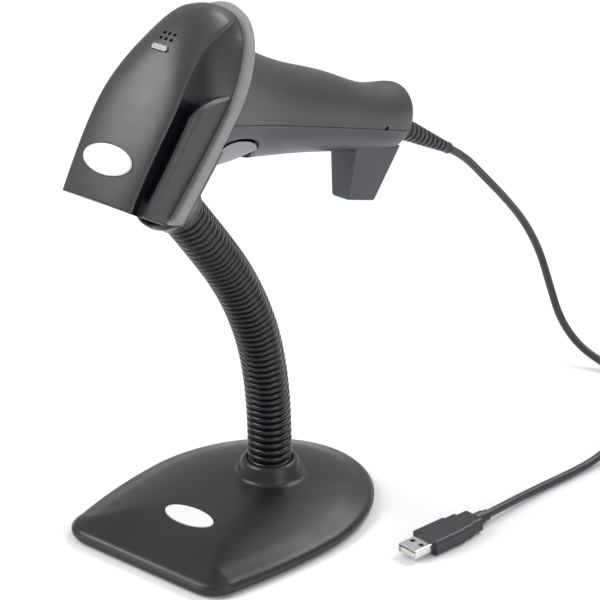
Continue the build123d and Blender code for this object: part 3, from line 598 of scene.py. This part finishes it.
def make_neck():
    """One ribbed skin over the neck's links, in pieces that bend from link to link."""
    middles = [(a + b) / 2 for a, b in zip(JOINTS, JOINTS[1:])]
    foot = JOINTS[0] - Vector((0, 0, NECK_INTO_NUT))
    first = ribbed_tube("neck_skin_1", foot, (foot + middles[0]) / 2, middles[0])
    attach(first, "base")
    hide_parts("neck_link_1")
    for index in range(6):
        skin_piece = ribbed_tube(
            f"neck_skin_{index + 2}", middles[index], JOINTS[index + 1], middles[index + 1],
        )
        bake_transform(skin_piece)
        if index:
            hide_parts(f"neck_link_{index + 1}")
    end = JOINTS[-1] + lean_up(NECK_LEANS[-1]) * NECK_INTO_CUP
    last = ribbed_tube("neck_skin_8", middles[-1], (middles[-1] + end) / 2, end)
    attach(last, "cradle")
    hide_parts("neck_link_7")


# ---- base ---------------------------------------------------------------------------------
BASE_FRONT_HALF = 51.8
BASE_MID_HALF = 59.3
BASE_MID_Y = 1.0
BASE_HALF_LENGTH = 74.4
BASE_CORNER_R = 15.0
COVER_UNDERSIDE = 2.4
BASE_CROWN = [(0, 4.6), (1.6, 6.4), (6, 8.0), (14, 10.6), (26, 12.8), (40, 14.0)]
BASE_BADGE_Y = -37.0
# radius and height of the boss round the neck, from its bore to where it meets the cover
BOSS = [
    (11.3, 12.0), (11.3, 21.9), (11.7, 22.4), (12.3, 22.5), (12.9, 22.35), (13.6, 21.9),
    (14.2, 21.1), (14.6, 20.2), (15.1, 18.7), (15.6, 17.0), (16.0, 15.8), (16.5, 14.9),
]
BOSS_FLARE_R = 19.5
# radius of the rings at the boss's foot, and how far each lies above the crown
BOSS_FOOT = ((18.4, 0.05), (17.6, 0.22), (17.0, 0.6))
# how far in from the rim the crown's rings lie, then their shares of the way on to the boss
CROWN_RINGS = (0.0, 0.25, 0.6, 1.0, 1.6, 2.4, 3.4, 4.6, 6.0, 8.0, 10.0, 12.0, 14.0, 17.0)
FLARE_SHARES = (0.12, 0.25, 0.4, 0.55, 0.7, 0.82, 0.92, 1.0)
BADGE_RECESS = (14.95, 7.55)
BADGE_RECESS_Z = 13.2


def plan_ring(front_half, mid_half, front_y, mid_y, rear_y, corner):
    """Plan outline: straight front, rounded corners, bowed sides and a half-ellipse rear."""
    corner_y = front_y + corner
    flat = front_half - corner
    right = [(flat * i / 8, front_y) for i in range(8)]
    right += [
        (flat + corner * sin(a), corner_y - corner * cos(a))
        for a in (pi / 2 * i / 10 for i in range(10))
    ]
    for i in range(18):
        t = i / 18
        lift = 2 * t * (1 - t) * 0.44 * (mid_half - front_half)
        x = front_half + (mid_half - front_half) * t + lift
        right.append((x, corner_y + (mid_y - corner_y) * t))
    right += [
        (mid_half * cos(a), mid_y + (rear_y - mid_y) * sin(a))
        for a in (pi / 2 * i / 28 for i in range(29))
    ]
    return right + [(-x, y) for x, y in right[-2:0:-1]]


def base_ring(inset):
    """The base's outline, moved in by an inset."""
    return plan_ring(
        BASE_FRONT_HALF - inset, BASE_MID_HALF - inset, -BASE_HALF_LENGTH + inset,
        BASE_MID_Y, BASE_HALF_LENGTH - inset, max(BASE_CORNER_R - inset, 3.0),
    )


def make_base_cover():
    """Crowned cover with a rounded rim and a raised boss that the neck stands in."""
    rim = base_ring(0.0)
    rows = [[(x, y, COVER_UNDERSIDE + 0.8) for x, y in base_ring(3.0)]]
    rows.append([(x, y, COVER_UNDERSIDE) for x, y in base_ring(1.6)])
    rows.append([(x, y, COVER_UNDERSIDE) for x, y in base_ring(0.3)])
    rows.append([(x, y, COVER_UNDERSIDE + 0.3) for x, y in rim])
    for inset in CROWN_RINGS:
        height = soft_curve(inset, BASE_CROWN)
        rows.append([(x, y, height) for x, y in base_ring(inset)])
    outer = base_ring(CROWN_RINGS[-1])
    circle = [Vector((x, y - NECK_Y)).normalized() for x, y in outer]

    def crown_at(x, y):
        inset = min(sqrt((x - a) ** 2 + (y - b) ** 2) for a, b in rim)
        return soft_curve(inset, BASE_CROWN)

    for share in FLARE_SHARES:
        row = []
        for (x, y), away in zip(outer, circle):
            px = x + (away.x * BOSS_FLARE_R - x) * share
            py = y + (NECK_Y + away.y * BOSS_FLARE_R - y) * share
            row.append((px, py, crown_at(px, py)))
        rows.append(row)
    for radius, lift in BOSS_FOOT:
        row = []
        for away in circle:
            px, py = away.x * radius, NECK_Y + away.y * radius
            row.append((px, py, crown_at(px, py) + lift))
        rows.append(row)
    for radius, height in BOSS[::-1]:
        rows.append([(away.x * radius, NECK_Y + away.y * radius, height) for away in circle])
    verts, faces = skin(rows)
    count = len(rim)
    faces.append(tuple(range(count)))
    faces.append(tuple(range(len(verts) - count, len(verts)))[::-1])
    cover = mesh_piece("base_cover_skin", verts, faces, "base_plastic", "base")
    carve(cover, [prism(ellipse(*BADGE_RECESS), 0, 6, turned((0, BASE_BADGE_Y, BADGE_RECESS_Z), 3.0))])
    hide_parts("base_cover")


# ---- cup ----------------------------------------------------------------------------------
# the cup's outer wall, from the sleeve's mouth to the rim, as (height, radius)
CUP_WALL = [
    (0.4, 13.0), (2.0, 13.1), (4.0, 13.4), (6.2, 14.2), (8.5, 15.0), (10.0, 15.35), (12.8, 15.4),
]
CUP_WALL_STEPS = 24
CUP_STEPS = 96
# the rest of the cup's profile, as (radius, height): round the mouth, then round the rim and down
CUP_MOUTH = [(11.9, 4.4), (11.9, 0.5), (12.05, 0.1), (12.6, 0.0), (12.85, 0.1)]
CUP_RIM = [(15.25, 13.5), (14.9, 13.9), (14.4, 14.0), (13.9, 13.9), (13.6, 13.5), (13.6, 6.6)]


def make_cup():
    """Smooth sleeve that widens into the cup, with rounded mouth and rim."""
    low, high = CUP_WALL[0][0], CUP_WALL[-1][0]
    heights = [low + (high - low) * i / CUP_WALL_STEPS for i in range(CUP_WALL_STEPS + 1)]
    profile = CUP_MOUTH + [(soft_curve(z, CUP_WALL), z) for z in heights] + CUP_RIM
    around = [2 * pi * i / CUP_STEPS for i in range(CUP_STEPS)]
    rows = [[CUP @ Vector((r * cos(a), r * sin(a), z)) for a in around] for r, z in profile]
    verts, faces = skin(rows)
    faces.append(tuple(range(len(verts) - CUP_STEPS, len(verts))))
    faces.append(tuple(range(CUP_STEPS))[::-1])
    cup = mesh_piece("cup_skin", verts, faces, "cup_plastic", "cradle")
    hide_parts("cradle_cup")


# ---- scanner head -----------------------------------------------------------------------------
HEAD_FRONT_Y = -56.0
HEAD_REAR_Y = 52.2
HEAD_FRONT_HALF = 25.0
HEAD_MID_HALF = 27.5
HEAD_MID_Y = 5.0
HEAD_CORNER_R = 2.5
RING_TOP = 3.3
HEAD_BADGE_Y = -37.0
LIGHT_Y = 18.6
BUZZER_HOLES = [(x, y) for x in (-3.0, 0.0, 3.0) for y in (23.5, 26.5)]
BUZZER_HOLE_R = 0.9
HEAD_BADGE_RECESS = (14.65, 7.45)
HEAD_BADGE_DEPTH = 0.9
HEAD_BADGE_LEAN = 6.5
LIGHT_SLOT = (9.4, 3.0)
LIGHT_SLOT_DEPTH = 2.0
# the window's opening and the space behind it: half width, first and last distance along, heights
WINDOW_OPENING = (19.0, -60.0, -48.0, 5.6, 19.4)
WINDOW_SPACE = (16.5, -53.0, -18.0, 4.6, 21.0)
ABOVE_HEAD = 40.0
RIM_THICKNESS = 1.4
CROWN_TOP = 32.3
CROWN_FRONT_DROP = 4.8
CAP_REAR_Y = 51.8
CROWN_POWER = 2.5
FRONT_LEAN = 4.05
LEAN_END_Y = -44.0
LIP_FRONT_HALF = 20.8
LIP_MID_HALF = 22.1
LIP_REAR_HALF = 16.3
LIP_WAIST_Y = 34.0
LIP_TOP = 28.9
LIP_TOP_Y = -12.0
LIP_FRONT_DROP = 4.3
LIP_END = 4.6
LIP_OVERHANG = 1.4
PANEL_FRONT_TOP = 18.8
PANEL_RISE = 3.2
PANEL_REAR_Y = 14.2
PANEL_SLOPE = 35.6
PANEL_BLEND = 13.0
GROOVE_END_Y = 1.5
CAP_STEPS = 18
# the panel's bevel: how far in from its outer face, and how far below its top
PANEL_BEVEL = [(0.06, 2.1), (0.26, 1.7), (0.66, 1.2), (1.1, 0.65), (1.5, 0.25), (1.85, 0.07), (2.25, 0.0)]


def crown_height(y):
    """Height of the cap along its middle."""
    if y < 0:
        return CROWN_TOP - CROWN_FRONT_DROP * (y / HEAD_FRONT_Y) ** 2
    return LIP_END + (CROWN_TOP - LIP_END) * sqrt(max(0.0, 1 - (y / CAP_REAR_Y) ** CROWN_POWER))


def head_half(y):
    """Half width of the head's plan outline."""
    if y > HEAD_MID_Y:
        along = min(1.0, (y - HEAD_MID_Y) / (HEAD_REAR_Y - HEAD_MID_Y))
        return HEAD_MID_HALF * sqrt(1 - along ** 2)
    share = (y - HEAD_FRONT_Y) / (HEAD_MID_Y - HEAD_FRONT_Y)
    half = HEAD_FRONT_HALF + (HEAD_MID_HALF - HEAD_FRONT_HALF) * sin(share * pi / 2)
    into_corner = HEAD_FRONT_Y + HEAD_CORNER_R - y
    if into_corner > 0:
        half -= HEAD_CORNER_R - sqrt(max(0.0, HEAD_CORNER_R ** 2 - into_corner ** 2))
    return half


def lip_half(y):
    """Half width of the cap's crisp lower edge: waisted towards the handle, rounded at its end."""
    half = LIP_FRONT_HALF + (LIP_MID_HALF - LIP_FRONT_HALF) * smoothstep(y, HEAD_FRONT_Y, LIP_TOP_Y)
    half -= (LIP_MID_HALF - LIP_REAR_HALF) * smoothstep(y, LIP_TOP_Y, LIP_WAIST_Y)
    return min(half * sqrt(1 - (max(y, 0.0) / CAP_REAR_Y) ** 12), head_half(y) - 0.1)


def lip_height(y):
    """Height of the cap's lower edge."""
    if y < LIP_TOP_Y:
        return LIP_TOP - LIP_FRONT_DROP * ((y - LIP_TOP_Y) / (HEAD_FRONT_Y - LIP_TOP_Y)) ** 2
    return LIP_TOP - (LIP_TOP - LIP_END) * ((y - LIP_TOP_Y) / (CAP_REAR_Y - LIP_TOP_Y)) ** 2.9


def under_lip(y):
    """Height of the underside of the cap's rim."""
    return lip_height(y) - min(RIM_THICKNESS, 0.3 * (lip_height(y) - RING_TOP))


def panel_height(y):
    """Height of the side panel: a rising top edge that rounds into a slope down to the bumper."""
    top = PANEL_FRONT_TOP + (y - HEAD_FRONT_Y) * tan(radians(PANEL_RISE))
    slope = RING_TOP + (PANEL_REAR_Y - y) / tan(radians(PANEL_SLOPE))
    near = max(0.0, 1 - abs(top - slope) / PANEL_BLEND)
    height = max(min(top, slope) - PANEL_BLEND * near ** 2 / 4, RING_TOP + 0.2)
    return min(height, RING_TOP + 0.75 * (under_lip(y) - RING_TOP))


def front_rounding(y):
    """How far the front edges are rounded in."""
    return 0.35 * max(0.0, 1 - (y - HEAD_FRONT_Y) / 0.5) ** 2


def wall_section(y):
    """Half section of the side wall: panel, bevel, groove or hollowed flank, and the cap's rim."""
    half = head_half(y) - front_rounding(y)
    lip, height = min(lip_half(y), half - 0.1), lip_height(y)
    under, panel = under_lip(y), panel_height(y)
    rim = height - under
    deepest = half - lip + LIP_OVERHANG

    def hollow(z):
        share = min(1.0, max(0.0, (z - RING_TOP) / (under - RING_TOP)))
        return min(deepest, 0.2 + deepest * (1 - (1 - share) ** 2.1))

    tall = panel - RING_TOP
    step = hollow(panel)
    narrow, low = min(1.0, step / 2.4), min(1.0, tall / 4.0)
    points = [(half - 0.05 * narrow, RING_TOP + (tall - 2.1 * low) * k) for k in (0, 0.3, 0.6, 0.85)]
    points += [(half - inset * narrow, panel - drop * low) for inset, drop in PANEL_BEVEL]
    points.append((half - step, panel - 0.02 * low))
    rise = under - panel
    points += [(half - hollow(panel + rise * k), panel + rise * k) for k in (
        0.04, 0.1, 0.18, 0.27, 0.37, 0.48, 0.6, 0.72, 0.84, 0.94,
    )]
    points += [(lip - LIP_OVERHANG, under - 0.02), (lip - 0.25, under + 0.02)]
    points += [(lip, under + 0.2 * rim), (lip, height - 0.2 * rim)]
    return [Vector((max(x, 0.05), y, z)) for x, z in points]


def cap_section(y):
    """Half section of the cap from its edge to its middle: a slow dome with softer shoulders."""
    half = min(lip_half(y), head_half(y) - 0.1) - front_rounding(y)
    lip = lip_height(y)
    crown = max(crown_height(y), lip + 0.2) - front_rounding(y)
    points = []
    for index in range(CAP_STEPS + 1):
        turn = pi / 2 * index / CAP_STEPS
        across = cos(turn) ** 0.9
        lift = (1 - across ** 2.3) ** 0.72
        points.append(Vector((max(half - 0.2, 0.02) * across, y, lip + (crown - lip) * lift)))
    return points


def leaned(point):
    """The head's front face leans back below the cap's edge; further along the head nothing moves."""
    below = 1 - (point.z - RING_TOP) / (lip_height(HEAD_FRONT_Y) - RING_TOP)
    back = FRONT_LEAN * max(0.0, below) * (1 - smoothstep(point.y, HEAD_FRONT_Y, LEAN_END_Y))
    return Vector((point.x, point.y + back, point.z))


def leaned_copy(node, name):
    """A copy of a CAD node behind the front face, leaned back with it."""
    slot = next(part["material_slot"] for part in frame["record"]["subparts"] if part["node"] == node)
    mesh = nodes[node].data.copy()
    mesh.name = name
    to_head = HEAD.inverted()
    for vertex in mesh.vertices:
        vertex.co = (HEAD @ leaned(to_head @ (vertex.co / MM))) * MM
    mesh.materials.clear()
    mesh.materials.append(MATERIALS[slot])
    piece = bpy.data.objects.new(name, mesh)
    scene.collection.objects.link(piece)
    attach(piece, "scanner")
    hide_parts(node)


def paint_groove_shade(mesh):
    """Paints shade into a vertex attribute: full painted shade in the groove, and painted shade that
    darkens upwards into the hollow under the cap's edge behind it.
    """
    shade_marks = mesh.color_attributes.new("liner", "FLOAT_COLOR", "POINT")
    to_head = HEAD.inverted()
    for vertex, shade_mark in zip(mesh.vertices, shade_marks.data):
        place = to_head @ (vertex.co / MM)
        y, z = place.y, place.z
        under = under_lip(y)
        shade_amount = 0.0
        if z < under + 0.01 and y < GROOVE_END_Y:
            shade_amount = float(z > panel_height(y) - 0.03 and abs(place.x) < head_half(y) - 2.0)
        elif z < under + 0.01:
            share = (z - RING_TOP) / (under - RING_TOP)
            start = 0.05 + 0.55 * smoothstep(y, GROOVE_END_Y, 34.0)
            shade_amount = smoothstep(share, start, start + 0.42)
            if y < PANEL_REAR_Y and z < panel_height(y) - 0.03:
                shade_amount = 0.0
        shade_mark.color = (shade_amount, shade_amount, shade_amount, 1.0)


def head_stations():
    """Distances along the head at which its section is laid, closest together where it turns."""
    stations = [-56.0, -55.85, -55.5, -55.0, -54.5, -54.0, -53.4, -52.7, -52.0, -51.0, -49.5]
    stations += [-48.0 + 2.0 * i for i in range(20)]
    stations += [-8.0 + 0.8 * i for i in range(28)]
    stations += [14.6, 15.6, 17.0]
    stations += [18.5 + 1.5 * i for i in range(13)]
    stations += [37.5 + 0.9 * i for i in range(10)]
    return stations + [CAP_REAR_Y - gap for gap in (5.3, 4.6, 3.9, 3.2, 2.6, 2.0, 1.5, 1.1, 0.7, 0.4)]


def stadium(length, width, centre_y):
    """Outline of a slot with round ends."""
    radius, flat = width / 2, (length - width) / 2
    right = [(flat + radius * sin(a), centre_y - radius * cos(a)) for a in (pi * i / 12 for i in range(13))]
    return right + [(-x, 2 * centre_y - y) for x, y in right]


def rectangle(half, low_y, high_y):
    """Outline of a rectangle about the middle plane."""
    return [(-half, low_y), (half, low_y), (half, high_y), (-half, high_y)]


def make_head_cover():
    """Upper casing: domed cap, groove along each side, side panels and hollowed rear flanks."""
    rows = []
    for y in head_stations():
        right = wall_section(y) + cap_section(y)
        left = [Vector((-p.x, p.y, p.z)) for p in right[-2::-1]]
        rows.append([HEAD @ leaned(p) for p in right + left])
    verts, faces = skin(rows)
    count = len(rows[0])
    faces.append(tuple(range(count)))
    faces.append(tuple(range(len(verts) - count, len(verts)))[::-1])
    cover = mesh_piece("head_cover_skin", verts, faces, "case_plastic", "scanner", crease=28.0)
    badge_floor = crown_height(HEAD_BADGE_Y) - HEAD_BADGE_DEPTH
    badge = HEAD @ turned((0, HEAD_BADGE_Y, badge_floor), HEAD_BADGE_LEAN)
    cutters = [
        prism(rectangle(half, low_y, high_y), low_z, high_z, HEAD)
        for half, low_y, high_y, low_z, high_z in (WINDOW_OPENING, WINDOW_SPACE)
    ]
    cutters.append(prism(ellipse(*HEAD_BADGE_RECESS), 0, 8, badge))
    light_floor = crown_height(LIGHT_Y) - LIGHT_SLOT_DEPTH
    cutters.append(prism(stadium(*LIGHT_SLOT, LIGHT_Y), light_floor, ABOVE_HEAD, HEAD))
    for x, y in BUZZER_HOLES:
        hole = ellipse(BUZZER_HOLE_R, BUZZER_HOLE_R, 20, (x, y))
        cutters.append(prism(hole, crown_height(y) - 3.0, ABOVE_HEAD, HEAD))
    carve(cover, cutters, crease=28.0)
    # painted shade: the cover darkens in the groove and under the cap's edge
    paint_groove_shade(cover.data)
    cover.data.materials.clear()
    cover.data.materials.append(COVER_WITH_PAINTED_SHADE)
    cover.data.materials.append(GROOVE_PAINTED_SHADE)
    shade_marks = cover.data.color_attributes["liner"].data
    groove_end = (HEAD @ Vector((0, GROOVE_END_Y, 0))) * MM
    along = HEAD.to_3x3() @ Vector((0, 1, 0))
    # Groove faces wholly in painted shade take the near-black painted-shade material.
    for face in cover.data.polygons:
        all_in_painted_shade = min(shade_marks[i].color[0] for i in face.vertices) > 0.99
        if all_in_painted_shade and (face.center - groove_end).dot(along) < 0:
            face.material_index = 1
    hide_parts("head_top_cover")
    for node in ("window_bezel", "scan_window", "bumper_ring", "head_lower_housing"):
        leaned_copy(node, node + "_leaned")


# ---- trigger ------------------------------------------------------------------------------
TRIGGER_START = 11.4
TRIGGER_END = 43.0
TRIGGER_EDGE_Y = 12.6
TRIGGER_GAP = 0.9
LOBE_BACK_Y = 15.6
LOBE_TOP_HALF = 23.0
LOBE_TAPER = 5.6
LOBE_DEPTH = 28.8
LOBE_ROUNDING = 28.6


def trigger_outline(grow):
    """The trigger's opening seen from the side, as distance down the handle and depth."""
    start, end, edge = TRIGGER_START - grow, TRIGGER_END + grow, TRIGGER_EDGE_Y - grow
    middle, half = (start + end) / 2, (end - start) / 2
    arch = [pi * i / 24 for i in range(25)]
    return [(middle - half * cos(a), edge + 8.0 * (1 - sin(a) ** 0.6)) for a in arch], (start, end)


def make_trigger():
    """Broad finger lobe that fills an arched opening in the handle's finger side."""
    arch, (start, end) = trigger_outline(0.0)
    side = GRIP @ Matrix(((0, 0, 1, 0), (0, 1, 0, 0), (1, 0, 0, 0), (0, 0, 0, 1)))
    rows = []
    for along, edge in arch[1:-1]:
        share = (along - start) / (end - start)
        edge += TRIGGER_GAP * share
        half = LOBE_TOP_HALF - LOBE_TAPER * share
        swell = max(0.0, 1 - abs(2 * share - 1) ** 3) ** 0.8
        depth = edge + 0.6 + (LOBE_DEPTH - edge) * swell
        row = []
        for index in range(25):
            turn = pi * index / 24
            y = edge + (depth - edge) * max(0.0, sin(turn)) ** 0.8
            width = half * sqrt(max(0.0, 1 - (y / LOBE_ROUNDING) ** 2))
            row.append(GRIP @ Vector((width * cos(turn), y, along)))
        rim = half * sqrt(1 - (edge / LOBE_ROUNDING) ** 2)
        back = max(LOBE_BACK_Y, edge + 1.0)
        row += [GRIP @ Vector((rim * side_share, back, along)) for side_share in (-0.85, 0.0, 0.85)]
        rows.append(row)
    verts, faces = skin(rows)
    count = len(rows[0])
    faces += [tuple(range(count)), tuple(range(len(verts) - count, len(verts)))[::-1]]
    lobe = mesh_piece("trigger_lobe", verts, faces, "trigger_plastic", "trigger", crease=50.0)
    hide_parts("trigger")
    shell = bpy.data.objects.new("handle_front_skin", nodes["handle_front_shell"].data.copy())
    scene.collection.objects.link(shell)
    opening, (low, high) = trigger_outline(TRIGGER_GAP)
    carve(shell, [prism(opening + [(high, 70.0), (low, 70.0)], -40.0, 40.0, side)])
    shell.data.materials.clear()
    shell.data.materials.append(HANDLE_FRONT)
    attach(shell, "scanner")
    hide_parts("handle_front_shell")


make_camera()
make_cord()
make_light()
make_floor()
dress_cad_nodes()
make_neck()
make_base_cover()
make_cup()
make_head_cover()
make_trigger()

bpy.context.view_layer.update()
